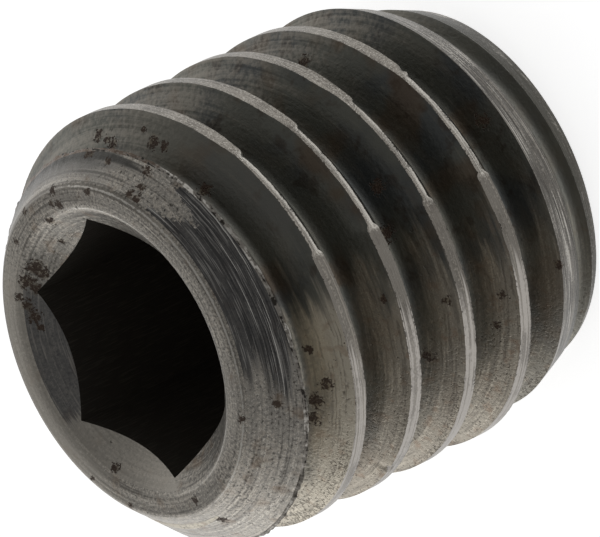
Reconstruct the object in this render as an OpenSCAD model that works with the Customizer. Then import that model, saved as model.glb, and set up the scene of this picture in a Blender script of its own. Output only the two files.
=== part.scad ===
// Orifice restrictor screw: a short socket set screw, M5 x 0.8, with a fine hole through its point.
// It is turned, threaded and broached from one steel bar, so it is one solid.
// Millimetres. The screw stands on its flat point: z = 0 is the point face, the axis is Z,
// and the socket opens upwards at z = screw_length.

/* [Thread] */
// Diameter over the thread crests
major_d = 4.88; // [4.83:0.01:4.98]
// Distance from one crest to the next
pitch = 0.8; // [0.7:0.05:0.9]
// Width of the flat on top of a crest
crest_flat = 0.15; // [0.08:0.01:0.17]
// Radius at the bottom of the groove
root_radius = 0.1; // [0.08:0.01:0.12]
// Height of a crest's lower edge above the point face, on the +X side
crest_height = 0.033; // [0:0.001:0.7]

/* [Body] */
// Length from the point face to the socket face
screw_length = 5; // [4.5:0.1:8]
// Diameter of the flat face round the socket
face_d = 3.75; // [3.6:0.01:3.8]
// Angle of the socket-end chamfer, measured from the axis
chamfer_angle = 40; // [35:1:45]
// Diameter of the lead taper where it meets the point face
point_d = 4.08; // [3.6:0.01:4.3]
// Angle of the lead taper, measured from the axis
lead_angle = 21; // [18:1:30]

/* [Socket] */
// Size across the flats of the hexagon socket
socket_flats = 2.54; // [2.5:0.01:2.58]
// Depth of the hexagon's flats below the socket face
socket_depth = 2.4; // [2:0.1:3]
// Turn of the hexagon's corners from +X
socket_turn = -11.6; // [-30:0.1:30]
// Diameter of the countersink where it meets the socket face
countersink_d = 3.26; // [3.1:0.01:3.4]
// Whole angle of the countersink
countersink_angle = 100; // [90:1:120]

/* [Orifice] */
// Diameter of the hole that meters the flow
orifice_d = 0.8; // [0.4:0.05:1.2]
// Whole angle of the drilled floor of the socket
drill_angle = 118; // [110:1:140]

/* [Hidden] */
// Slope of a thread flank: the thread form's whole angle is 60 degrees
flank_slope = 1 / tan(30);
// Flat facets in one turn of the thread
turn_steps = 96;
// Places across the rounded root, as angles about the root radius's centre
root_angles = [-60, -30, 0, 30, 60];
// Least distance kept between two rows of the thread surface
row_gap = 0.01;
// A row of the thread surface this close to an end face is taken as being on it
end_gap = 0.002;
// How far a cutter runs past the face that it enters or leaves
cut_past = 0.5;

crest_r = major_d / 2;
groove_half = (pitch - crest_flat) / 2;
root_centre_depth = (groove_half - root_radius / cos(30)) * flank_slope;
chamfer_slope = tan(chamfer_angle);
lead_slope = tan(lead_angle);

rows_in_turn = 2 + len(root_angles);
first_turn = -2;
turns = ceil(screw_length / pitch) + 4;
rows = turns * rows_in_turn;

// The end cones, as the largest radius that each leaves at a height.
function chamfer_r(z) = face_d / 2 + (screw_length - z) * chamfer_slope;
function lead_r(z) = point_d / 2 + z * lead_slope;
function turned_r(z) = min(crest_r, chamfer_r(z), lead_r(z));

// Height of a crest's lower edge, lowered to where an end cone cuts its flank.
function lower_edge(z) = min(
    z,
    (face_d / 2 + chamfer_slope * screw_length - crest_r + flank_slope * z) / (flank_slope + chamfer_slope),
    (point_d / 2 - crest_r + flank_slope * z) / (flank_slope - lead_slope));

// Height of a crest's upper edge, raised to where an end cone cuts its flank.
function upper_edge(z) = max(
    z,
    (crest_r + flank_slope * z - face_d / 2 - chamfer_slope * screw_length) / (flank_slope - chamfer_slope),
    (crest_r + flank_slope * z - point_d / 2) / (flank_slope + lead_slope));

// One row of the thread surface at one angle, as [height, radius]. Each turn of the helix has
// the crest's two edges first and then the rounded root above them.
function helix_z(turn, step) = crest_height + pitch * (first_turn + turn + step / turn_steps);
function root_z(z, t) = z + crest_flat + groove_half + root_radius * sin(t);
function root_row(z, t) =
    let (h = root_z(z, t))
    [h, min(crest_r - root_centre_depth - root_radius * cos(t), turned_r(h))];
function lower_row(z) =
    let (h = max(lower_edge(z), root_z(z - pitch, root_angles[len(root_angles) - 1]) + row_gap))
    [h, turned_r(h)];
function upper_row(z) =
    let (h = min(upper_edge(z + crest_flat), root_z(z, root_angles[0]) - row_gap))
    [h, turned_r(h)];
function row_at(row, step) =
    let (k = row % rows_in_turn)
    let (z = helix_z(floor(row / rows_in_turn), step))
    k == 0 ? lower_row(z) : k == 1 ? upper_row(z) : root_row(z, root_angles[k - 2]);

// Radius of the thread surface at an end face, at one angle, on the line between the last row
// up to a limit and the next row. A groove that reaches the face nicks its rim.
function rim_r(step, height, limit) =
    let (last = max([for (i = [0 : rows - 1]) if (row_at(i, step)[0] <= limit) i]))
    let (a = row_at(last, step))
    let (b = row_at(last + 1, step))
    a[1] + (height - a[0]) * (b[1] - a[1]) / (b[0] - a[0]);

function on_turn(step, r, z) = [r * cos(360 * step / turn_steps), r * sin(360 * step / turn_steps), z];

// Points: the ring round the point face, the ring round the socket face, then the thread rows.
// After a whole turn a row is the row one pitch higher. Rows past an end are that end's ring.
function point_index(row, step) =
    step == turn_steps ? point_index(row + rows_in_turn, 0)
    : let (z = row_at(row, step)[0])
      z <= end_gap ? step
    : z >= screw_length - end_gap ? turn_steps + step
    : (2 + row) * turn_steps + step;

module threaded_blank() {
    top = screw_length;
    point_ring = [for (j = [0 : turn_steps - 1]) on_turn(j, rim_r(j, 0, end_gap), 0)];
    face_ring = [for (j = [0 : turn_steps - 1]) on_turn(j, rim_r(j, top, top - end_gap), top)];
    thread_points = [
        for (i = [0 : rows - 1])
            for (j = [0 : turn_steps - 1])
                let (p = row_at(i, j))
                on_turn(j, p[1], p[0])
    ];
    thread_faces = [
        for (i = [0 : rows - 2])
            for (j = [0 : turn_steps - 1])
                let (a = point_index(i, j))
                let (b = point_index(i, j + 1))
                let (c = point_index(i + 1, j + 1))
                let (d = point_index(i + 1, j))
                for (f = [[a, d, c], [a, c, b]])
                    if (f[0] != f[1] && f[1] != f[2] && f[2] != f[0]) f
    ];
    point_face = [for (j = [0 : turn_steps - 1]) j];
    socket_face = [for (j = [0 : turn_steps - 1]) 2 * turn_steps - 1 - j];
    polyhedron(
        points = concat(point_ring, face_ring, thread_points),
        faces = concat(thread_faces, [point_face, socket_face]));
}

// Cone that leads the key into the socket.
module socket_countersink() {
    slope = tan(countersink_angle / 2);
    depth = countersink_d / 2 / slope;
    translate([0, 0, screw_length - depth])
        cylinder(h = depth + cut_past, r1 = 0, r2 = (depth + cut_past) * slope, $fn = 96);
}

// Six flats for the key, then the drilled cone that leads down to the orifice.
module socket_recess() {
    corner_r = socket_flats / 2 / cos(30);
    drill_depth = socket_flats / 2 / tan(drill_angle / 2);
    rotate([0, 0, socket_turn])
        translate([0, 0, screw_length - socket_depth])
            cylinder(h = socket_depth + cut_past, r = corner_r, $fn = 6);
    translate([0, 0, screw_length - socket_depth - drill_depth])
        cylinder(h = drill_depth, r1 = 0, r2 = socket_flats / 2, $fn = 96);
}

// The fine hole through the point.
module orifice() {
    translate([0, 0, -cut_past])
        cylinder(h = screw_length - socket_depth + cut_past, d = orifice_d, $fn = 48);
}

// The whole screw.
module screw_body() {
    color("dimgray")
        difference() {
            threaded_blank();
            socket_countersink();
            socket_recess();
            orifice();
        }
}

screw_body();
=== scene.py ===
"""Looks of the orifice restrictor screw: its threaded body, its steel finishes and a plain studio."""
import math

import bpy
import numpy as np
from mathutils import Matrix, Vector


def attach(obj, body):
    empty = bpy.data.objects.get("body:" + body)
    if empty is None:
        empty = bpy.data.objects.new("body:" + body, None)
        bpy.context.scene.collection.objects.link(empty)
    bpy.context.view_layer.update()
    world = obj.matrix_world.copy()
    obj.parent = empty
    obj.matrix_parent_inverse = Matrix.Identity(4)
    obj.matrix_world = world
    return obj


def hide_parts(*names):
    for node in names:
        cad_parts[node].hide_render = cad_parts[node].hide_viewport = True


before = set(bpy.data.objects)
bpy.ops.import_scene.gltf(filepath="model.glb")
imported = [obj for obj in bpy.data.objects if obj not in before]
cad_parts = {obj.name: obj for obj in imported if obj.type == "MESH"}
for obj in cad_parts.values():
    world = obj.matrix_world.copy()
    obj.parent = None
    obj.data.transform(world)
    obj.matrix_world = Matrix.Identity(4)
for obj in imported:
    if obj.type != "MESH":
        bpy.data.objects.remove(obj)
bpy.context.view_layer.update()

MM = 0.001

# ---------------------------------------------------------------- sizes of the screw, in millimetres

CREST_RADIUS = 2.44
PITCH = 0.8
SCREW_LENGTH = 5.0
CREST_FLAT = 0.155
CREST_CENTRE = 0.108
ROOT_RADIUS = 0.1
FLANK_SLOPE = 1 / math.tan(math.radians(30))

FACE_RADIUS = 1.875
CHAMFER_SLOPE = math.tan(math.radians(40))
POINT_RADIUS = 2.04
LEAD_SLOPE = math.tan(math.radians(21))

SOCKET_FLATS = 2.54
SOCKET_DEPTH = 2.4
SOCKET_TURN = math.radians(-11.6)
COUNTERSINK_RADIUS = 1.63
COUNTERSINK_SLOPE = math.tan(math.radians(50))
DRILL_SLOPE = math.tan(math.radians(59))
ORIFICE_RADIUS = 0.4

# The thread crest is narrower between these two directions round the screw, along a roll seam.
SEAM_ANGLE = math.radians(271)
SEAM_END = math.radians(303)
SEAM_STEP = math.radians(1.5)
SEAM_FADE = math.radians(12)
SEAM_NARROWING = 0.08

# Worn steel: how far a crest's edges wander, in long waves with small bites in them, how many of each lie
# on a millimetre, and the gentlest and steepest fall of a worn edge.
EDGE_WEAR = 0.03
WAVES_PER_MM = 1.6
BITES_PER_MM = 9.0
BITE_SHARE = 0.6
GENTLE_FALL = 0.9
STEEP_FALL = 3.5
# The lip that the chamfer's tool rolled over, and its tears.
BURR_HEIGHT = 0.035
BURR_WIDTH = 0.04
BURR_TEARS_PER_MM = 7.0
# The lip's mean height and how far it varies, as shares of BURR_HEIGHT. Below 0 there is no lip.
BURR_MEAN = 0.25
BURR_SWING = 2.4
# It stands only where the chamfer takes this much off the crest and leaves this much of the groove.
LEAST_CUT = 0.02
LEAST_LEFT = 0.03
# A face counts as chamfered where the chamfer takes more than this off the thread.
LEAST_SHAVED = 0.004
# Radius of the corners that the turning tool left on the socket face.
TURNED_CORNER = 0.05

# ---------------------------------------------------------------- how finely the body is meshed

STEPS_ROUND = 600
ROWS_ON_CREST = 5
ROWS_IN_GROOVE = 16
# Rows lie evenly across a crest, and crowd by this power toward the bottom of a groove.
EVENLY = 1.0
ROOT_CROWDING = 1.5
# Keeps the first row of a turn from being rounded into the turn below.
ROW_NUDGE = 0.0001
# The turns of thread that are meshed, from below the point. What lies past an end is folded onto its rim.
TURNS = 9
FIRST_TURN = -2
# The first and last row keep this close to their edge, and an edge keeps this clear of the groove's middle.
EDGE_BAND = 0.03
ROOT_ROOM = 0.01
ROWS_ON_CORNER = 3
ROWS_ON_FACE = 3
ROWS_IN_COUNTERSINK = 5
ROWS_ON_FLATS = 4
ROWS_ON_FLOOR = 2
# Points closer together than this become one.
MERGE_MM = 0.0002
# Edges turned by more than this stay sharp.
SHARP_ANGLE = math.radians(32)


def add(tree, kind, inputs=(), **settings):
    """Adds a node with its settings. Each input is a value or the output that feeds it."""
    made = tree.nodes.new(kind)
    for name, value in settings.items():
        setattr(made, name, value)
    for place, value in inputs.items() if isinstance(inputs, dict) else enumerate(inputs):
        if isinstance(value, bpy.types.NodeSocket):
            tree.links.new(value, made.inputs[place])
        else:
            made.inputs[place].default_value = value
    return made


class Amount:
    """A number that varies over the surface, worked out by Math nodes, with ordinary arithmetic."""

    def __init__(self, tree, socket):
        self.tree = tree
        self.socket = socket

    def work(self, operation, *others, after=None):
        """This amount and the others, through one Math node. after is a number that comes first."""
        inputs = [self.socket] + [getattr(other, "socket", other) for other in others]
        if after is not None:
            inputs.insert(0, after)
        made = add(self.tree, "ShaderNodeMath", inputs, operation=operation)
        return Amount(self.tree, made.outputs[0])

    def __add__(self, other):
        return self.work("ADD", other)

    def __sub__(self, other):
        return self.work("SUBTRACT", other)

    def __rsub__(self, number):
        return self.work("SUBTRACT", after=number)

    def __mul__(self, other):
        return self.work("MULTIPLY", other)

    def __truediv__(self, other):
        return self.work("DIVIDE", other)

    def least(self, *others):
        """The smallest of this amount and the others."""
        amount = self
        for other in others:
            amount = amount.work("MINIMUM", other)
        return amount

    def most(self, *others):
        """The largest of this amount and the others."""
        amount = self
        for other in others:
            amount = amount.work("MAXIMUM", other)
        return amount

    def toward(self, other, share):
        """From this amount at share 0 to the other at share 1."""
        return self + (other - self) * share

    def rise(self, low, high):
        """0 where this amount is below low and 1 above high, rising smoothly. It falls if low is higher."""
        inputs = {"Value": self.socket, "From Min": low, "From Max": high}
        made = add(self.tree, "ShaderNodeMapRange", inputs, interpolation_type="SMOOTHSTEP")
        return Amount(self.tree, made.outputs[0])

    def swing(self, width):
        """This pattern, which runs from 0 to 1, made to run evenly about 0 and to be that wide."""
        return (self - 0.5) * width


class ScrewSkin:
    """The geometry tree that makes the screw's whole surface from rules, in millimetres."""

    INPUTS = {
        "Crest radius": CREST_RADIUS,
        "Pitch": PITCH,
        "Crest flat": CREST_FLAT,
        "Crest centre": CREST_CENTRE,
        "Root radius": ROOT_RADIUS,
        "Length": SCREW_LENGTH,
        "Face radius": FACE_RADIUS,
        "Point radius": POINT_RADIUS,
        "Socket flats": SOCKET_FLATS,
        "Socket depth": SOCKET_DEPTH,
        "Countersink radius": COUNTERSINK_RADIUS,
        "Orifice radius": ORIFICE_RADIUS,
        "Seam narrowing": SEAM_NARROWING,
        "Edge wear": EDGE_WEAR,
        "Burr height": BURR_HEIGHT,
        "Turned corner": TURNED_CORNER,
    }

    def __init__(self):
        tree = bpy.data.node_groups.new("screw skin", "GeometryNodeTree")
        tree.interface.new_socket("Geometry", in_out="OUTPUT", socket_type="NodeSocketGeometry")
        for name in self.INPUTS:
            tree.interface.new_socket(name, in_out="INPUT", socket_type="NodeSocketFloat")
        self.tree = tree
        self.given = add(tree, "NodeGroupInput").outputs
        place = add(tree, "ShaderNodeSeparateXYZ", [add(tree, "GeometryNodeInputPosition").outputs[0]])
        self.across = Amount(tree, place.outputs["X"]) + 0.5
        self.along = Amount(tree, place.outputs["Y"]) + 0.5
        self.angle = self.across * math.tau + SOCKET_TURN
        self.cosine = self.angle.work("COSINE")
        self.sine = self.angle.work("SINE")
        self.surface = add(tree, "GeometryNodeJoinGeometry")
        self.finishes = []

    def number(self, finish):
        """The number by which a face names its finish."""
        if finish not in self.finishes:
            self.finishes.append(finish)
        return float(self.finishes.index(finish))

    def size(self, name):
        """One of the tree's named inputs."""
        return Amount(self.tree, self.given[name])

    def patch(self, rows, radius, height, finishes, marks=()):
        """Adds a grid of that many rows, wrapped round the axis at that radius and height.

        finishes gives the patch's own material, and then (material, amount) pairs, each of which covers the
        faces where its amount is above zero. marks gives (name, amount) pairs that the materials read."""
        tree = self.tree
        grid = add(tree, "GeometryNodeMeshGrid", [1.0, 1.0, STEPS_ROUND + 1, rows + 1]).outputs["Mesh"]
        finish = self.across * 0 + self.number(finishes[0])
        for covering, amount in finishes[1:]:
            finish = finish.toward(self.number(covering), amount.work("GREATER_THAN", 0.0))
        kept = [("finish", finish, "FACE")] + [(name, amount, "POINT") for name, amount in marks]
        for name, amount, domain in kept:
            stored = {"Geometry": grid, "Name": name, "Value": amount.socket}
            grid = add(tree, "GeometryNodeStoreNamedAttribute", stored, domain=domain).outputs[0]
        x = radius * self.cosine * MM
        y = radius * self.sine * MM
        z = height * MM
        spot = add(tree, "ShaderNodeCombineXYZ", [x.socket, y.socket, z.socket])
        skin = add(tree, "GeometryNodeSetPosition", {"Geometry": grid, "Position": spot.outputs[0]})
        tree.links.new(skin.outputs[0], self.surface.inputs[0])

    def ruled(self, rows, start, end, finish):
        """A patch between two rings, each given as (radius, height)."""
        radius = start[0].toward(end[0], self.along)
        height = start[1].toward(end[1], self.along)
        self.patch(rows, radius, height, [finish])

    def rounded(self, rows, start, corner, end, finish):
        """A patch that rounds off the corner between two rings. All three are given as (radius, height)."""
        radius, height = [
            one.toward(other, self.along).toward(other.toward(last, self.along), self.along)
            for one, other, last in zip(start, corner, end)]
        self.patch(rows, radius, height, [finish])

    def noise(self, height, per_mm, offset):
        """Smooth random values from about -0.5 to 0.5 over the crest cylinder, the same on every run."""
        tree = self.tree
        radius = self.size("Crest radius")
        spot = [(radius * self.cosine).socket, (radius * self.sine).socket, (height + offset).socket]
        place = add(tree, "ShaderNodeCombineXYZ", spot).outputs[0]
        made = add(tree, "ShaderNodeTexNoise", {"Vector": place, "Scale": per_mm, "Detail": 3.0})
        return Amount(tree, made.outputs[0]) - 0.5

    def turned_radius(self, height):
        """The largest radius that the bar and its end cones leave at a height."""
        chamfer = self.size("Face radius") + (self.size("Length") - height) * CHAMFER_SLOPE
        lead = self.size("Point radius") + height * LEAD_SLOPE
        return self.size("Crest radius").least(chamfer, lead)

    def cut_below(self, height):
        """Where the end cones cut the flank that runs down from a crest's lower edge at that height."""
        flank = height * FLANK_SLOPE - self.size("Crest radius")
        chamfer = (self.size("Face radius") + self.size("Length") * CHAMFER_SLOPE + flank) / (
            FLANK_SLOPE + CHAMFER_SLOPE)
        lead = (self.size("Point radius") + flank) / (FLANK_SLOPE - LEAD_SLOPE)
        return chamfer.least(lead)

    def cut_above(self, height):
        """Where the end cones cut the flank that runs up from a crest's upper edge at that height."""
        flank = height * FLANK_SLOPE + self.size("Crest radius")
        chamfer = (flank - self.size("Face radius") - self.size("Length") * CHAMFER_SLOPE) / (
            FLANK_SLOPE - CHAMFER_SLOPE)
        lead = (flank - self.size("Point radius")) / (FLANK_SLOPE + LEAD_SLOPE)
        return chamfer.most(lead)

    def groove_depth(self, from_middle):
        """The depth of the groove beside its middle: straight flanks that run into a rounded root."""
        root = self.size("Root radius")
        groove_half = (self.size("Pitch") - self.size("Crest flat")) / 2
        root_centre = (groove_half - root / math.cos(math.radians(30))) * FLANK_SLOPE
        rounded = root_centre + (root * root - from_middle * from_middle).most(0.0).work("SQRT")
        straight = (groove_half - from_middle) * FLANK_SLOPE
        in_root = (root * math.sin(math.radians(60)) - from_middle).work("GREATER_THAN", 0.0)
        return straight.toward(rounded, in_root).most(0.0)

    def ragged(self, centre, offset):
        """How a worn edge wanders, from about -1 to 1: long waves with small bites in them."""
        waves = self.noise(centre, WAVES_PER_MM, offset)
        return waves + self.noise(centre, BITES_PER_MM, offset + 3.0) * BITE_SHARE

    def crest_edges(self, centre):
        """The heights of a crest's lower and upper edge: both as worn, then both as the end cones cut them.

        The roll seam makes the crest narrower for a short way. It starts with a step in both edges. At its
        end the lower edge steps back and the upper edge widens slowly."""
        after_seam = self.angle.rise(SEAM_ANGLE, SEAM_ANGLE + SEAM_STEP)
        below = after_seam - self.angle.rise(SEAM_END, SEAM_END + SEAM_STEP)
        above = after_seam - self.angle.rise(SEAM_END, SEAM_END + SEAM_FADE)
        narrowing = self.size("Seam narrowing")
        half_flat = self.size("Crest flat") / 2
        half_pitch = self.size("Pitch") / 2
        wear = self.size("Edge wear")
        low = centre - half_flat + below * narrowing * 0.5 + self.ragged(centre, 0.0) * wear
        high = centre + half_flat - above * narrowing * 0.5 + self.ragged(centre, 7.0) * wear
        cut_low = low.least(self.cut_below(centre - half_flat)).most(centre - half_pitch + ROOT_ROOM)
        cut_high = high.most(self.cut_above(centre + half_flat)).least(centre + half_pitch - ROOT_ROOM)
        return low, high, cut_low, cut_high

    def spread(self, row, rows, low, high, crowding):
        """The height of a row between two edges. The first and last row keep close to the edges."""
        width = high - low
        band = width.least(EDGE_BAND * 3) / 3
        side = ((row - 1) / (rows - 2)).most(0.0).least(1.0) * 2 - 1
        inner = side.work("ABSOLUTE").work("POWER", crowding) * side.work("SIGN") * 0.5 + 0.5
        bands = row.most(0.0).least(1.0) + (row - (rows - 1)).most(0.0)
        return low + bands * band + inner * (width - band * 2)

    def thread(self, crest_finish, flank_finish, chamfer_finish, burr_finish):
        """The thread, with its end cones. Its rows run along the helix, so the crests' edges stay crisp."""
        rows_in_turn = ROWS_ON_CREST + ROWS_IN_GROOVE
        pitch = self.size("Pitch")
        length = self.size("Length")
        crest = self.size("Crest radius")
        row = self.along * (TURNS * rows_in_turn)
        turn = (row / rows_in_turn + ROW_NUDGE).work("FLOOR")
        in_turn = (row - turn * rows_in_turn).most(0.0)
        centre = (turn + FIRST_TURN + self.angle / math.tau) * pitch + self.size("Crest centre")
        _, worn_high, low, high = self.crest_edges(centre)
        next_worn_low, _, next_low, _ = self.crest_edges(centre + pitch)

        # Rows crowd towards the bottom of the groove, where the surface turns.
        groove_row = (in_turn - ROWS_ON_CREST).most(0.0)
        is_groove = groove_row.work("GREATER_THAN", 0.0)
        on_crest = self.spread(in_turn.least(float(ROWS_ON_CREST)), ROWS_ON_CREST, low, high, EVENLY)
        in_groove = self.spread(groove_row, ROWS_IN_GROOVE, high, next_low, ROOT_CROWDING)
        height = on_crest.toward(in_groove, is_groove)

        # A worn edge falls away until it meets the true flank.
        from_edge = (height - worn_high).least(next_worn_low - height).most(0.0)
        from_middle = (centre + pitch / 2 - height).work("ABSOLUTE")
        depth = self.groove_depth(from_middle).most(from_edge * GENTLE_FALL).least(from_edge * STEEP_FALL)
        threaded = crest - depth * is_groove
        limit = self.turned_radius(height)

        # A lip of rolled-over steel stands where the chamfer cuts the thread.
        by_chamfer = (height - length / 2).work("GREATER_THAN", 0.0)
        edge_height = low.toward(next_low, is_groove)
        rim = self.turned_radius(edge_height)
        root = crest - self.groove_depth(pitch * 0)
        is_cut = (crest - rim).work("GREATER_THAN", LEAST_CUT)
        cut_here = is_cut * (rim - root).work("GREATER_THAN", LEAST_LEFT) * by_chamfer
        near_edge = (1 - (height - edge_height).work("ABSOLUTE") / BURR_WIDTH).most(0.0)
        torn = self.noise(edge_height, BURR_TEARS_PER_MM, 3.0) * BURR_SWING + BURR_MEAN
        lip = near_edge * cut_here * torn.most(0.0)
        radius = (threaded.least(limit) + lip * self.size("Burr height")).least(crest)

        # Rows past an end lie on its rim. At the point the groove nicks the rim where it runs out.
        top = length - self.size("Turned corner")
        turns_up = (self.size("Crest centre") / pitch + self.angle / math.tau) * -1
        rim_from_middle = (turns_up.work("FRACT") - 0.5).work("ABSOLUTE") * pitch
        self.point_rim = self.turned_radius(length * 0).least(crest - self.groove_depth(rim_from_middle))
        radius = radius.toward(self.turned_radius(top), (height - top).work("GREATER_THAN", 0.0))
        radius = radius.toward(self.point_rim, (0 - height).work("GREATER_THAN", 0.0))

        cut = (threaded - limit - LEAST_SHAVED) * by_chamfer
        finishes = [flank_finish, (crest_finish, 0.5 - is_groove), (chamfer_finish, cut),
                    (burr_finish, (1 - in_turn) * cut_here)]
        # side runs from -1 at a crest's lower edge to 1 at its upper edge, and back across the groove.
        side = (in_turn / ROWS_ON_CREST).least(1.0) * 2 - 1 - groove_row / ROWS_IN_GROOVE * 2
        beside = (height - high).least(next_low - height) * is_groove
        marks = [("side", side), ("beside_crest", beside)]
        self.patch(TURNS * rows_in_turn, radius, height.most(0.0).least(top), finishes, marks)

    def socket(self, face_finish, cone_finish, wall_finish, floor_finish):
        """The face round the socket, the countersink, the six flats, the drilled floor and the orifice."""
        length = self.size("Length")
        face = self.size("Face radius")
        rim = self.size("Countersink radius")
        corner = self.size("Turned corner")
        flats = self.size("Socket flats") / 2
        orifice = self.size("Orifice radius")
        bottom = length - self.size("Socket depth")
        point = length * 0

        # Distance from the axis to the flats, in each direction round the hexagon.
        sixth = math.tau / 6
        from_corner = (self.angle - SOCKET_TURN).work("MODULO", sixth)
        hexagon = flats / (from_corner - sixth / 2).work("COSINE")
        in_cone = length - (rim - hexagon) / COUNTERSINK_SLOPE
        drill_end = bottom - (flats - orifice) / DRILL_SLOPE

        chamfer_end = (face + corner * CHAMFER_SLOPE, length - corner)
        cone_start = (rim - corner, length - corner / COUNTERSINK_SLOPE)
        self.rounded(ROWS_ON_CORNER, chamfer_end, (face, length), (face - corner, length), face_finish)
        self.ruled(ROWS_ON_FACE, (face - corner, length), (rim + corner, length), face_finish)
        self.rounded(ROWS_ON_CORNER, (rim + corner, length), (rim, length), cone_start, face_finish)
        self.ruled(ROWS_IN_COUNTERSINK, cone_start, (hexagon, in_cone), cone_finish)
        self.ruled(ROWS_ON_FLATS, (hexagon, in_cone), (hexagon, bottom), wall_finish)
        self.ruled(1, (hexagon, bottom), (flats, bottom), floor_finish)
        self.ruled(ROWS_ON_FLOOR, (flats, bottom), (orifice, drill_end), floor_finish)
        self.ruled(ROWS_ON_FLOOR, (orifice, drill_end), (orifice, point), floor_finish)
        self.ruled(ROWS_ON_FACE, (orifice, point), (self.point_rim, point), face_finish)

    def finished(self):
        """Ends the tree: one closed skin, with its real materials."""
        tree = self.tree
        merging = {"Geometry": self.surface.outputs[0], "Distance": MERGE_MM * MM}
        merged = add(tree, "GeometryNodeMergeByDistance", merging)
        skin = add(tree, "GeometryNodeRealizeInstances", [merged.outputs[0]]).outputs[0]
        named = add(tree, "GeometryNodeInputNamedAttribute", ["finish"], data_type="FLOAT").outputs[0]
        for number, finish in enumerate(self.finishes):
            chosen = Amount(tree, named).work("COMPARE", float(number), 0.1)
            painted = {"Geometry": skin, "Selection": chosen.socket, "Material": finish}
            skin = add(tree, "GeometryNodeSetMaterial", painted).outputs[0]
        out = add(tree, "NodeGroupOutput")
        tree.links.new(skin, out.inputs[0])
        return tree


def linear(hex_colour):
    """An sRGB colour such as "8a8378" as linear light, with alpha 1."""
    parts = [int(hex_colour[place:place + 2], 16) / 255 for place in (0, 2, 4)]
    light = [part / 12.92 if part <= 0.04045 else ((part + 0.055) / 1.055) ** 2.4 for part in parts]
    return (*light, 1.0)


# Spots of rust, as (direction from the +X side in degrees, radius, height, size).
RUST_ON_SOCKET = [
    (36, 1.50, 4.90, 0.15), (39, 1.43, 4.84, 0.12), (44, 1.55, 4.93, 0.15), (47, 1.48, 4.88, 0.12),
    (55, 1.55, 4.93, 0.11), (60, 1.50, 4.89, 0.12), (52, 1.62, 4.99, 0.08), (65, 1.46, 4.86, 0.07),
    (16, 1.39, 4.80, 0.06), (6, 1.59, 4.97, 0.1), (15, 1.86, 5.0, 0.07), (29, 1.77, 5.0, 0.06),
    (356, 1.87, 4.99, 0.09), (355, 1.70, 5.0, 0.1), (359, 1.74, 5.0, 0.07), (337, 1.83, 5.0, 0.08),
    (182, 1.74, 5.0, 0.08), (231, 1.86, 5.0, 0.08), (134, 1.54, 4.92, 0.09), (145, 1.83, 5.0, 0.06),
    (126, 1.82, 5.0, 0.05),
]
RUST_ON_CHAMFER = [
    (330, 1.88, 4.99, 0.07), (319, 1.95, 4.92, 0.1), (316, 1.93, 4.93, 0.1), (317, 2.02, 4.83, 0.09),
    (319, 2.14, 4.69, 0.09), (334, 2.10, 4.74, 0.07), (343, 2.15, 4.67, 0.12), (299, 1.89, 4.98, 0.07),
    (356, 1.87, 4.99, 0.09), (337, 1.83, 5.0, 0.08), (182, 2.05, 4.79, 0.1), (236, 2.12, 4.71, 0.08),
]
RUST_ON_THREAD = [
    (351, 2.21, 4.30, 0.1), (347, 2.16, 4.33, 0.08), (344, 2.11, 4.34, 0.1), (328, 2.19, 4.26, 0.13),
    (324, 2.17, 4.24, 0.09), (333, 2.27, 4.22, 0.06), (305, 2.03, 4.30, 0.12), (281, 2.15, 2.58, 0.12),
    (230, 2.06, 4.11, 0.14), (223, 2.03, 4.12, 0.13), (236, 2.17, 4.06, 0.12), (247, 2.06, 4.15, 0.08),
    (268, 2.0, 2.67, 0.14), (334, 2.17, 1.88, 0.12), (285, 2.19, 0.96, 0.13), (227, 2.08, 2.50, 0.12),
    (229, 2.21, 1.63, 0.09), (239, 2.29, 1.6, 0.08), (245, 2.32, 2.4, 0.08), (240, 2.32, 0.79, 0.09),
    (253, 2.32, 3.22, 0.07),
]


# Half the width of a crest, which the mesh's mark "side" is multiplied by to give millimetres.
HALF_CREST = 0.08


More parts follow.
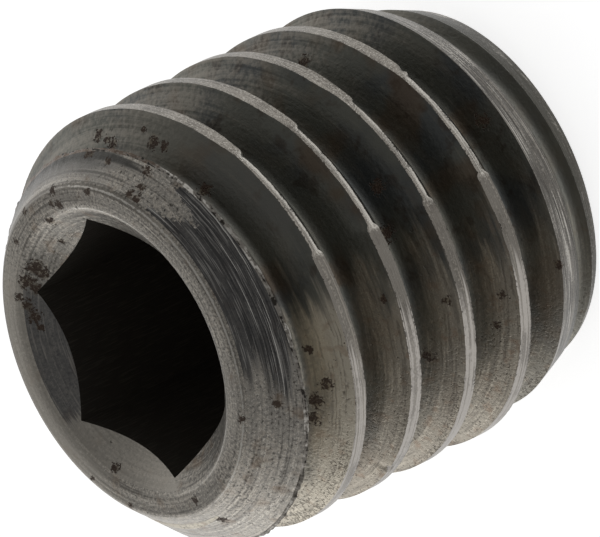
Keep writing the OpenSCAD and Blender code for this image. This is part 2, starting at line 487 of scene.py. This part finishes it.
class Finish:
    """A steel finish, built up in layers, with its patterns sized by how many marks lie on a millimetre.

    A pixel of the render covers 0.0106 mm, about 95 to a millimetre. Feed lines, grit marks and scratches
    finer than that are drawn 75 to 120 to a millimetre, coarser than they are, so that they show."""

    def __init__(self, name, colour, roughness):
        self.material = bpy.data.materials.new(name)
        self.material.use_nodes = True
        self.tree = tree = self.material.node_tree
        place = add(tree, "ShaderNodeTexCoord").outputs["Object"]
        scaled = {"Vector": place, "Scale": 1 / MM}
        self.place = add(tree, "ShaderNodeVectorMath", scaled, operation="SCALE").outputs[0]
        parts = add(tree, "ShaderNodeSeparateXYZ", [self.place]).outputs
        x, y, self.height = [Amount(tree, part) for part in parts]
        self.radius = (x * x + y * y).work("SQRT")
        self.east = x / self.radius
        self.north = y / self.radius
        self.colour = linear(colour)
        self.roughness = self.amount(roughness)
        self.metal = self.amount(1.0)
        self.relief = self.amount(0.0)

    def amount(self, number):
        """A plain number, as an Amount to build on."""
        made = add(self.tree, "ShaderNodeValue")
        made.outputs[0].default_value = number
        return Amount(self.tree, made.outputs[0])

    def mark(self, name):
        """A value that the mesh carries."""
        return Amount(self.tree, add(self.tree, "ShaderNodeAttribute", attribute_name=name).outputs["Fac"])

    def grain(self, per_mm, detail=2.0, seed=0.0):
        """Patches of no direction, that many to a millimetre, from about 0.2 to 0.8."""
        inputs = {"Vector": self.place, "W": seed, "Scale": per_mm, "Detail": detail}
        made = add(self.tree, "ShaderNodeTexNoise", inputs, noise_dimensions="4D")
        return Amount(self.tree, made.outputs[0])

    def streaks(self, across, per_mm, run=1.5, seed=0.0):
        """Lines round the screw, that many to a millimetre across. A higher run makes them shorter."""
        spot = [(self.east * run).socket, (self.north * run).socket, (across * per_mm).socket]
        place = add(self.tree, "ShaderNodeCombineXYZ", spot).outputs[0]
        inputs = {"Vector": place, "W": (self.height * 1.5 + seed).socket, "Scale": 1.0, "Detail": 2.0}
        made = add(self.tree, "ShaderNodeTexNoise", inputs, noise_dimensions="4D")
        return Amount(self.tree, made.outputs[0])

    def pits(self, per_mm, share, size):
        """Small round pits, in that share of the cells, of that size within a cell."""
        made = add(self.tree, "ShaderNodeTexVoronoi", {"Vector": self.place, "Scale": per_mm})
        here = Amount(self.tree, made.outputs["Color"]).work("LESS_THAN", share)
        away = Amount(self.tree, made.outputs["Distance"]) + self.grain(per_mm * 4) * 0.2
        return away.rise(size + 0.1, size) * here

    def sector(self, low, high, ragged, fade_in=4.0, fade_out=4.0):
        """1 between two directions round the screw, in degrees from the +X side, with ragged ends."""
        middle = math.radians(low + high) / 2
        cosine, sine = math.cos(middle), math.sin(middle)
        ahead = self.east * cosine + self.north * sine
        aside = self.north * cosine - self.east * sine
        turned = aside.work("ARCTAN2", ahead) * (180 / math.pi) + ragged
        half = (high - low) / 2
        return turned.rise(-half - fade_in, -half) - turned.rise(half, half + fade_out)

    def cover(self, colour, amount):
        """Lays a colour over what is there, by that amount."""
        inputs = {0: amount.socket, 6: self.colour, 7: linear(colour)}
        self.colour = add(self.tree, "ShaderNodeMix", inputs, data_type="RGBA").outputs[2]

    def rust(self, spots):
        """Crusty brown rust in spots, given as in the lists above, with a thinner stain round each."""
        near = self.amount(0.0)
        for direction, radius, height, size in spots:
            turn = math.radians(direction)
            middle = (radius * math.cos(turn), radius * math.sin(turn), height)
            away = add(self.tree, "ShaderNodeVectorMath", [self.place, middle], operation="DISTANCE")
            near = near.most(1 - Amount(self.tree, away.outputs["Value"]) / size)
        inside = near.rise(0.0, 0.2)
        broken = self.grain(50.0, 3.0, seed=14.0)
        crust = (near * 0.3 + self.grain(26.0, 4.0, seed=12.0) + broken * 0.5).rise(0.86, 0.94) * inside
        stain = (near * 0.8 + self.grain(12.0, 4.0)).rise(0.75, 1.1) * inside
        self.cover("56462d", stain * 0.5)
        self.cover("33200f", crust * 0.92)
        self.metal = self.metal - crust * 0.8 - stain * 0.15
        self.roughness = self.roughness.toward(0.75, crust)
        self.relief = self.relief + crust * (self.grain(40.0) - 0.6) * 0.02

    def finished(self):
        """Joins the layers to the shader."""
        tree = self.tree
        bump = add(tree, "ShaderNodeBump", {"Strength": 1.0, "Distance": MM, "Height": self.relief.socket})
        shader = tree.nodes["Principled BSDF"]
        tree.links.new(self.colour, shader.inputs["Base Color"])
        tree.links.new(self.metal.socket, shader.inputs["Metallic"])
        tree.links.new(self.roughness.socket, shader.inputs["Roughness"])
        tree.links.new(bump.outputs[0], shader.inputs["Normal"])
        return self.material


def turned_steel(name, colour, bloom):
    """Turned on a lathe: fine rings under a grainy pale bloom, which is that strong, and small dark pits.

    The tool's feed of 0.02 mm a turn gives 48 rings to a millimetre, and its chatter 11. The bloom's grains
    are 0.03 mm wide, and between them lies finer grit, drawn 85 to a millimetre so that it shows."""
    finish = Finish(name, colour, 0.4)
    finish.rings = rings = finish.streaks(finish.radius, 48.0)
    finish.specks = grain = finish.grain(30.0, 3.0)
    fine = finish.grain(85.0)
    wide_rings = finish.streaks(finish.radius, 11.0, seed=3.0)
    patches = finish.grain(2.2, 3.0, seed=5.0)
    # The chatter's dark rings, then the bloom and its brightest grains.
    finish.cover("64605a", (wide_rings + patches * 0.5).rise(0.74, 0.96) * 0.5)
    finish.cover("a8a196", (grain * 0.9 + rings * 0.5 + patches * 0.4).rise(0.86, 1.06) * bloom)
    finish.cover("cbc6bd", (fine + rings * 0.5 + grain * 0.4).rise(1.0, 1.16) * bloom * 0.8)
    # The dark of the fine rings, the gaps between the grains, and thin brown stains.
    finish.cover("4a4641", (rings + grain * 0.6).rise(0.74, 0.62) * 0.55)
    finish.cover("36312d", (grain * 0.8 + fine * 0.5).rise(0.57, 0.49) * 0.7)
    finish.cover("6f5a45", finish.grain(4.0, 4.0, seed=8.0).rise(0.54, 0.7) * 0.45)
    pits = finish.pits(7.0, 0.14, 0.14)
    finish.cover("26201c", pits * 0.85)
    finish.relief = finish.relief + rings.swing(0.005) + (fine + grain - 1.0) * 0.003 - pits * 0.01
    finish.roughness = finish.roughness + grain.swing(0.3)
    return finish


def face_steel():
    """The flat face round the socket: dull rings, with painted highlights as thin bright lines along its
    edges, mostly on one side, and painted shade by its outer edge on another.
    """
    finish = turned_steel("faced_steel", "827e77", 0.7)
    ragged = finish.specks.swing(60)
    pale = finish.sector(45.0, 120.0, ragged, 20.0, 20.0)
    finish.cover("a09b92", pale * 0.6)
    edge_highlight = finish.sector(205.0, 335.0, ragged, 25.0, 25.0) * 0.5 + 0.06
    # Painted shade along the outer edge on one side, which dulls the glint of its rounded corner.
    painted_rim_shade = finish.sector(-40.0, 80.0, ragged, 20.0, 20.0)
    by_chamfer = (finish.radius - FACE_RADIUS).work("ABSOLUTE")
    finish.cover("5c5852", (by_chamfer + finish.specks.swing(0.04)).rise(0.05, 0.02) * painted_rim_shade * 0.6)
    # Painted highlights: thin bright lines along both edges, strongest on one side.
    for edge in (FACE_RADIUS, COUNTERSINK_RADIUS):
        away = (finish.radius - edge).work("ABSOLUTE") + finish.specks.swing(0.05)
        finish.cover("d4d0c8", away.rise(0.014, 0.002) * edge_highlight)
    finish.rust(RUST_ON_SOCKET)
    return finish.finished()


def countersink_steel():
    """The countersink: smoother than the face, with painted shade, dark and bluish, on one side.

    The rings that catch the light there are painted pale, and lie 60 to a millimetre, which is a finer feed
    than the face's."""
    finish = turned_steel("countersunk_steel", "74716b", 0.45)
    ragged = finish.rings.swing(20)
    painted_cold_side = finish.sector(52.0, 104.0, ragged, 12.0, 8.0)
    # Painted shade, dark and bluish, on one side, and painted highlights on its rings.
    finish.cover("545455", painted_cold_side * 0.7)
    finish.cover("96918a", painted_cold_side * finish.streaks(finish.radius, 60.0, 3.0, seed=5.0).rise(0.54, 0.66) * 0.4)
    pale = finish.sector(108.0, 170.0, ragged)
    finish.cover("9a958c", pale * 0.6)
    finish.rust(RUST_ON_SOCKET)
    return finish.finished()


def chamfer_steel():
    """The chamfer: a pale bloom, with a dark sector where it rubbed along a wall and was scratched.

    The scratches are a few thousandths of a millimetre wide, too fine to show, so they are drawn 80 to
    120 to a millimetre."""
    finish = turned_steel("chamfered_steel", "908c85", 0.85)
    ragged = finish.streaks(finish.radius, 14.0, seed=9.0).swing(50) + finish.specks.swing(16)
    shaded = finish.sector(-24.0, 70.0, ragged, 14.0)
    by_thread = finish.radius + finish.specks.swing(0.16)
    # The shade deepens toward the thread.
    finish.cover("5a5957", shaded * by_thread.rise(1.88, 2.04) * 0.75)
    finish.cover("3a3936", shaded * by_thread.rise(2.03, 2.13) * 0.8)
    rubbed = finish.sector(-108.0, -59.0, ragged, 10.0, 3.0)
    finish.cover("454546", rubbed * 0.85)
    dark = finish.streaks(finish.radius, 80.0, 2.0, seed=2.0)
    finish.cover("2c2c2d", dark.rise(0.52, 0.42) * rubbed * 0.55)
    short = finish.streaks(finish.radius, 120.0, 5.0, seed=4.0).rise(0.54, 0.66) * 0.4
    long = finish.streaks(finish.radius, 95.0, 1.4, seed=6.0).rise(0.6, 0.67)
    scratches = (short + long).least(1.0) * rubbed
    finish.cover("c6c3bd", scratches * 0.75)
    finish.relief = finish.relief - scratches * 0.002
    finish.rust(RUST_ON_CHAMFER)
    return finish.finished()


def flank_steel():
    """Thinly blackened by heat: olive and blue-black with brown stains, rubbed pale beside the crests.

    The stains are 0.2 to 1 mm wide, the rolling dies' lines lie 30 to a millimetre and the coat's grains are
    0.05 and 0.02 mm wide. The rubbed band's lines are finer, and are drawn 75 to a millimetre to show."""
    finish = Finish("blackened_flank_steel", "5b5b55", 0.42)
    streaks = finish.streaks(finish.radius, 30.0)
    soft = finish.streaks(finish.radius, 7.0, 2.5, seed=2.0)
    grain = finish.grain(20.0, 3.0)
    fine = finish.grain(55.0, 2.0, seed=1.0)
    # Blue-black and brown stains, paler smears and small dark stains, then the dies' light and dark lines.
    finish.cover("45484a", finish.grain(1.1, 3.0).rise(0.44, 0.6) * 0.7)
    finish.cover("58493a", finish.grain(1.7, 3.0, seed=4.0).rise(0.52, 0.66) * 0.6)
    finish.cover("66625a", soft.rise(0.52, 0.68) * 0.35)
    finish.cover("3a2f26", finish.grain(4.5, 3.0, seed=9.0).rise(0.56, 0.66) * 0.45)
    finish.cover("7d776c", (streaks + grain * 0.4).rise(0.8, 0.95) * 0.25)
    finish.cover("33312e", (streaks + grain * 0.6).rise(0.7, 0.58) * 0.2)
    # The pale band beside a crest, on the side that was rubbed.
    beside = finish.mark("beside_crest")
    on_thread = finish.height.rise(1.0, 1.5)
    rubbed = finish.sector(140.0, 246.0, soft.swing(60) + streaks.swing(30), 4.0, 20.0)
    rub = rubbed * (on_thread * 0.5 + 0.5)
    lines = finish.streaks(beside, 75.0, 4.0, seed=7.0)
    near = (beside + soft.swing(0.3) + grain.swing(0.2)).rise(0.34, 0.02)
    finish.cover("938c80", near * rub * 0.85)
    # The groove next to the socket is rubbed paler, and the one next to the point is a duller green-grey.
    first = finish.height.rise(3.65, 3.85)
    finish.cover("b5ae9f", near * rub * first * 0.75)
    finish.cover("726f67", first * finish.sector(-80.0, -25.0, soft.swing(30), 12.0, 12.0) * 0.4)
    finish.cover("82817a", finish.height.rise(0.8, 0.5) * 0.55)
    # Light lines, brown stains and dark lines in the rubbed band.
    finish.cover("b4ad9f", near * rub * (lines + fine * 0.5).rise(0.8, 0.94) * 0.5)
    finish.cover("755a44", near * rub * finish.grain(7.0, 3.0, seed=6.0).rise(0.54, 0.68) * 0.4)
    finish.cover("56514a", near * rub * (lines + grain * 0.4).rise(0.66, 0.56) * 0.5)
    # Soft dark specks on one side, and a pale sheen on the other.
    underside = finish.sector(130.0, 218.0, soft.swing(60), 10.0, 30.0)
    specks = (finish.grain(34.0, 3.0, seed=3.0) + soft.swing(0.4)).rise(0.56, 0.68) * underside
    finish.cover("453f36", specks * 0.6)
    limb = finish.sector(-20.0, 60.0, soft.swing(30) + grain.swing(20), 24.0, 30.0)
    finish.cover("8b867d", limb * (streaks + grain * 0.8).rise(0.7, 1.1) * 0.65)
    finish.cover("3a342d", (grain + streaks * 0.3).rise(0.5, 0.4) * (rub + limb).least(1.0) * 0.5)
    small_pits = finish.pits(16.0, 0.16, 0.2) * near * rub
    finish.cover("2d2822", small_pits * 0.8)
    pits = finish.pits(5.0, 0.1, 0.12)
    finish.cover("1d1a18", pits * 0.8)
    finish.relief = finish.relief + streaks.swing(0.002) + grain.swing(0.005) - (pits + small_pits) * 0.01
    finish.relief = finish.relief + fine.swing(near * rub * 0.002 + 0.001) - specks * 0.003
    finish.roughness = finish.roughness + grain.swing(0.25)
    finish.rust(RUST_ON_THREAD)
    return finish.finished()


def crest_steel():
    """The rolled crest, rubbed to bare steel: scratched along the thread, with dark bites at its edges.

    The scratches lie 46 to a millimetre and the grains are 0.03 mm wide. The grit between them is finer,
    and is drawn 80 to a millimetre so that it glints."""
    finish = Finish("worn_crest_steel", "76726c", 0.4)
    side = finish.mark("side")
    across = side * HALF_CREST
    scratches = finish.streaks(across, 46.0, 1.6)
    grain = finish.grain(34.0, 3.0)
    fine = finish.grain(80.0)
    patches = finish.grain(2.5, 3.0, seed=2.0)
    # Beyond the roll seam the crest is paler, on the far side it is palest, and the seam is rubbed bright.
    beyond = finish.sector(-58.0, 60.0, grain.swing(10))
    far_side = finish.sector(120.0, 242.0, scratches.swing(30), 10.0, 8.0)
    finish.cover("635f59", finish.sector(246.0, 272.0, grain.swing(20), 6.0, 2.0) * 0.7)
    finish.cover("8c877f", beyond * 0.8)
    finish.cover("a8a39d", far_side * 0.85)
    on_seam = finish.height.rise(1.1, 1.2)
    seam = finish.sector(-88.0, -57.0, grain.swing(5), 2.0, 2.0) * on_seam
    finish.cover("8a857d", seam * 0.7)
    finish.cover("c4c0b8", seam * (side + scratches.swing(4)).rise(0.6, -0.4) * 0.75)
    finish.cover("2b2621", seam * (side + grain.swing(4)).rise(0.9, 1.4) * 0.8)
    # The crest next to the point has no bright seam. It is scored, in lines drawn 120 to a millimetre.
    scored = finish.height.rise(1.1, 0.9) * finish.sector(-150.0, -35.0, grain.swing(8), 20.0, 20.0)
    finish.cover("5d5a55", scored * 0.8)
    cuts = finish.streaks(across, 120.0, 4.0, seed=5.0) + fine.swing(0.3)
    finish.cover("c9c5bd", scored * cuts.rise(0.55, 0.62) * 0.6)
    finish.cover("33302c", scored * cuts.rise(0.46, 0.4) * 0.7)
    # Dark and light wear along the scratches, then bright and dark grit, most of it beyond the seam.
    finish.cover("4e4a45", (scratches + patches * 0.6 + grain * 0.3).rise(0.92, 1.06) * 0.6)
    finish.cover("a39d93", (grain * 0.6 + scratches).rise(0.84, 1.0) * 0.4)
    by_point = finish.height.rise(0.5, 0.4)
    rough = beyond * 0.45 + seam * 0.25 + by_point * 0.2 + 0.06
    finish.cover("e0dcd4", (fine + grain * 0.6).rise(0.86, 1.0) * rough)
    finish.cover("4a453f", (fine * 0.7 + grain * 0.7).rise(0.68, 0.58) * rough)
    bites = (side.work("ABSOLUTE") + grain.swing(1.4) + (patches - 0.5)).rise(1.0, 1.2)
    finish.cover("2e2a26", bites * 0.8)
    # On the lead taper only the lowest part is rubbed bare.
    tapered = (finish.height + (grain + patches - 1.0) * 0.1).rise(0.07, 0.12) * by_point
    finish.cover("43423c", tapered * 0.75)
    dull = by_point * finish.sector(225.0, 318.0, grain.swing(30), 15.0, 15.0)
    finish.cover("48463f", dull * grain.rise(0.3, 0.55) * 0.8)
    pits = finish.pits(8.0, 0.16, 0.14)
    finish.cover("2b2724", pits * 0.85)
    finish.relief = finish.relief + scratches.swing(0.008) + fine.swing(rough) * 0.006 - pits * 0.01
    finish.relief = finish.relief - bites * 0.008
    finish.roughness = finish.roughness + grain.swing(0.3)
    finish.rust(RUST_ON_THREAD)
    return finish.finished()


def burr_steel():
    """Steel that the chamfer's tool rolled over: bright torn specks 0.05 mm wide, with black gaps."""
    finish = Finish("rolled_over_steel", "8a857e", 0.36)
    torn = finish.grain(18.0, 3.0) * 0.5 + finish.streaks(finish.radius, 40.0, 9.0) * 0.5
    bright = finish.grain(1.3, 3.0, seed=3.0).rise(0.44, 0.56)
    finish.cover("e0dcd4", torn.rise(0.5, 0.56) * (bright * 0.8 + 0.2))
    finish.cover("211e1b", torn.rise(0.47, 0.42) * 0.9)
    ragged = torn.swing(20)
    browned = finish.sector(-40.0, 40.0, ragged)
    finish.cover("4d3c2f", browned * torn.rise(0.42, 0.52) * 0.8)
    dulled = finish.sector(110.0, 212.0, ragged)
    finish.cover("423e38", dulled * 0.75)
    finish.relief = finish.relief + torn.swing(0.02)
    return finish.finished()


def socket_steel():
    """Broached and left black: the broach's faint lines, 14 to a millimetre, up and down the flats."""
    finish = Finish("broached_socket_steel", "6a655e", 0.5)
    per_mm = (14.0, 14.0, 0.8)
    place = add(finish.tree, "ShaderNodeVectorMath", [finish.place, per_mm], operation="MULTIPLY")
    drawn = Amount(finish.tree, add(finish.tree, "ShaderNodeTexNoise", [place.outputs[0]]).outputs[0])
    finish.cover("8a847b", drawn.rise(0.52, 0.66) * 0.6)
    finish.relief = finish.relief + drawn.swing(0.01)
    return finish.finished()


# Knocks in the edges, as (direction in degrees, radius, height, size, depth).
KNOCKS = [
    (306, 2.44, 1.50, 0.07, 0.03), (197, 2.44, 3.02, 0.08, 0.04), (303, 2.44, 3.93, 0.05, 0.02),
    (222, 2.44, 2.30, 0.06, 0.02), (250, 2.44, 0.72, 0.07, 0.02), (206, 2.3, 4.55, 0.07, 0.03),
]


def knock(mesh):
    """Presses the edges in at each knock, deepest in its middle."""
    places = np.empty(len(mesh.vertices) * 3)
    mesh.vertices.foreach_get("co", places)
    places = places.reshape(-1, 3)

    for direction, radius, height, size, depth in KNOCKS:
        turn = math.radians(direction)
        middle = np.array((radius * math.cos(turn), radius * math.sin(turn), height)) * MM
        near = np.maximum(0, 1 - np.linalg.norm(places - middle, axis=1) / (size * MM))
        outward = places * (1, 1, 0) / np.maximum(np.linalg.norm(places[:, :2], axis=1), MM / 10)[:, None]
        places = places - outward * (near * near * (3 - 2 * near) * depth * MM)[:, None]
    mesh.vertices.foreach_set("co", places.ravel())


def build_body():
    """The screw's body as one plain mesh, made by its geometry tree."""
    skin = ScrewSkin()
    skin.thread(crest_steel(), flank_steel(), chamfer_steel(), burr_steel())
    wall = socket_steel()
    skin.socket(face_steel(), countersink_steel(), wall, wall)
    tree = skin.finished()
    holder = bpy.data.objects.new("screw_skin", bpy.data.meshes.new("screw_skin"))
    bpy.context.scene.collection.objects.link(holder)
    modifier = holder.modifiers.new("skin", "NODES")
    modifier.node_group = tree
    for item in tree.interface.items_tree:
        if item.in_out == "INPUT":
            modifier[item.identifier] = skin.INPUTS[item.name]
    bpy.context.view_layer.update()
    made = bpy.data.meshes.new_from_object(holder.evaluated_get(bpy.context.evaluated_depsgraph_get()))
    bpy.data.objects.remove(holder)
    made.name = "screw"
    knock(made)
    made.shade_smooth()
    made.set_sharp_from_angle(angle=SHARP_ANGLE)
    body = bpy.data.objects.new("screw", made)
    bpy.context.scene.collection.objects.link(body)
    return body


body = build_body()
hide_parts("screw_body")
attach(body, "root")

# ---------------------------------------------------------------- camera

FRAME_WIDTH = 600
FRAME_HEIGHT = 537
FOCAL_PIXELS = 17357
# Where the middle of the socket's face lies in the frame, in pixels from its top left corner.
SOCKET_PIXEL = (121.1, 353.3)
CAMERA_DISTANCE = 183.26
# How far the camera looks down, and how far the screw leans in the frame, from socket to point.
VIEW_ELEVATION = math.radians(35.94)
FRAME_LEAN = math.radians(25.55)


def aim_camera():
    """A long lens, rolled so that the standing screw lies across the frame."""
    data = bpy.data.cameras.new("camera")
    data.sensor_width = 36
    data.lens = FOCAL_PIXELS / FRAME_WIDTH * data.sensor_width
    data.clip_start = 0.01
    data.clip_end = 10
    forward = Vector((0, math.cos(VIEW_ELEVATION), -math.sin(VIEW_ELEVATION)))
    level_right = Vector((1, 0, 0))
    level_up = level_right.cross(forward)
    # The point lies down the screw, against level_up. In the frame it is to lie to the right and up.
    right = -level_right * math.sin(FRAME_LEAN) - level_up * math.cos(FRAME_LEAN)
    up = (-forward).cross(right)
    side = (SOCKET_PIXEL[0] - FRAME_WIDTH / 2) / FOCAL_PIXELS * CAMERA_DISTANCE
    drop = (SOCKET_PIXEL[1] - FRAME_HEIGHT / 2) / FOCAL_PIXELS * CAMERA_DISTANCE
    target = Vector((0, 0, SCREW_LENGTH))
    place = target - right * side + up * drop - forward * CAMERA_DISTANCE
    turn = Matrix((right, up, -forward)).transposed()
    camera = bpy.data.objects.new("camera", data)
    camera.matrix_world = Matrix.Translation(place * MM) @ turn.to_4x4()
    bpy.context.scene.collection.objects.link(camera)
    bpy.context.scene.camera = camera


aim_camera()

# ---------------------------------------------------------------- floor, light and world

FLOOR_HALF = 0.6
PAPER_GREY = 0.8
PAPER_GLOW = 0.75
HORIZON_LIGHT = 0.8
OVERHEAD_LIGHT = 0.34


def stage_material():
    """Matt white paper that shows white to the camera and in the steel, and still takes the soft shadow."""
    material = bpy.data.materials.new("white_paper")
    material.use_nodes = True
    tree = material.node_tree
    tree.nodes.clear()
    paper = add(tree, "ShaderNodeBsdfDiffuse", {"Color": (PAPER_GREY, PAPER_GREY, PAPER_GREY, 1)})
    path = add(tree, "ShaderNodeLightPath")
    camera, glossy, through = [Amount(tree, path.outputs[f"Is {kind} Ray"])
                               for kind in ("Camera", "Glossy", "Transmission")]
    seen = camera.most(glossy, through)
    glow = add(tree, "ShaderNodeEmission", {"Strength": (seen * PAPER_GLOW).socket})
    both = add(tree, "ShaderNodeAddShader", [paper.outputs[0], glow.outputs[0]])
    out = add(tree, "ShaderNodeOutputMaterial")
    tree.links.new(both.outputs[0], out.inputs["Surface"])
    return material


def lay_floor():
    """A sheet of white paper under the screw."""
    mesh = bpy.data.meshes.new("floor")
    corners = [(x * FLOOR_HALF, y * FLOOR_HALF, 0) for x, y in ((-1, -1), (1, -1), (1, 1), (-1, 1))]
    mesh.from_pydata(corners, [], [(0, 1, 2, 3)])
    mesh.materials.append(stage_material())
    floor = bpy.data.objects.new("floor", mesh)
    bpy.context.scene.collection.objects.link(floor)


def hang_lamp(name, direction, distance, size, watts):
    """A square soft lamp that faces the screw from a direction."""
    data = bpy.data.lights.new(name, "AREA")
    data.shape = "SQUARE"
    data.size = size
    data.energy = watts
    lamp = bpy.data.objects.new(name, data)
    away = Vector(direction).normalized()
    lamp.location = away * distance
    lamp.rotation_euler = away.to_track_quat("Z", "Y").to_euler()
    bpy.context.scene.collection.objects.link(lamp)


def light_world():
    """An even white horizon on the far side, and a dimmer studio overhead and behind the camera."""
    world = bpy.data.worlds.new("studio")
    world.use_nodes = True
    tree = world.node_tree
    direction = add(tree, "ShaderNodeTexCoord").outputs["Generated"]
    parts = add(tree, "ShaderNodeSeparateXYZ", [direction]).outputs
    far_side = Amount(tree, parts["Y"]).rise(-0.3, 0.6)
    low_down = Amount(tree, parts["Z"]).rise(0.9, 0.3)
    strength = far_side * low_down * (HORIZON_LIGHT - OVERHEAD_LIGHT) + OVERHEAD_LIGHT
    background = tree.nodes["Background"]
    background.inputs["Color"].default_value = (1, 1, 1, 1)
    tree.links.new(strength.socket, background.inputs["Strength"])
    bpy.context.scene.world = world


lay_floor()
hang_lamp("side_lamp", (-0.577, 0.81, 0.15), distance=0.3, size=0.2, watts=0.18)
hang_lamp("back_lamp", (0.577, 0.81, 0.2), distance=0.3, size=0.15, watts=0.04)
light_world()
bpy.context.scene.view_settings.view_transform = "Standard"
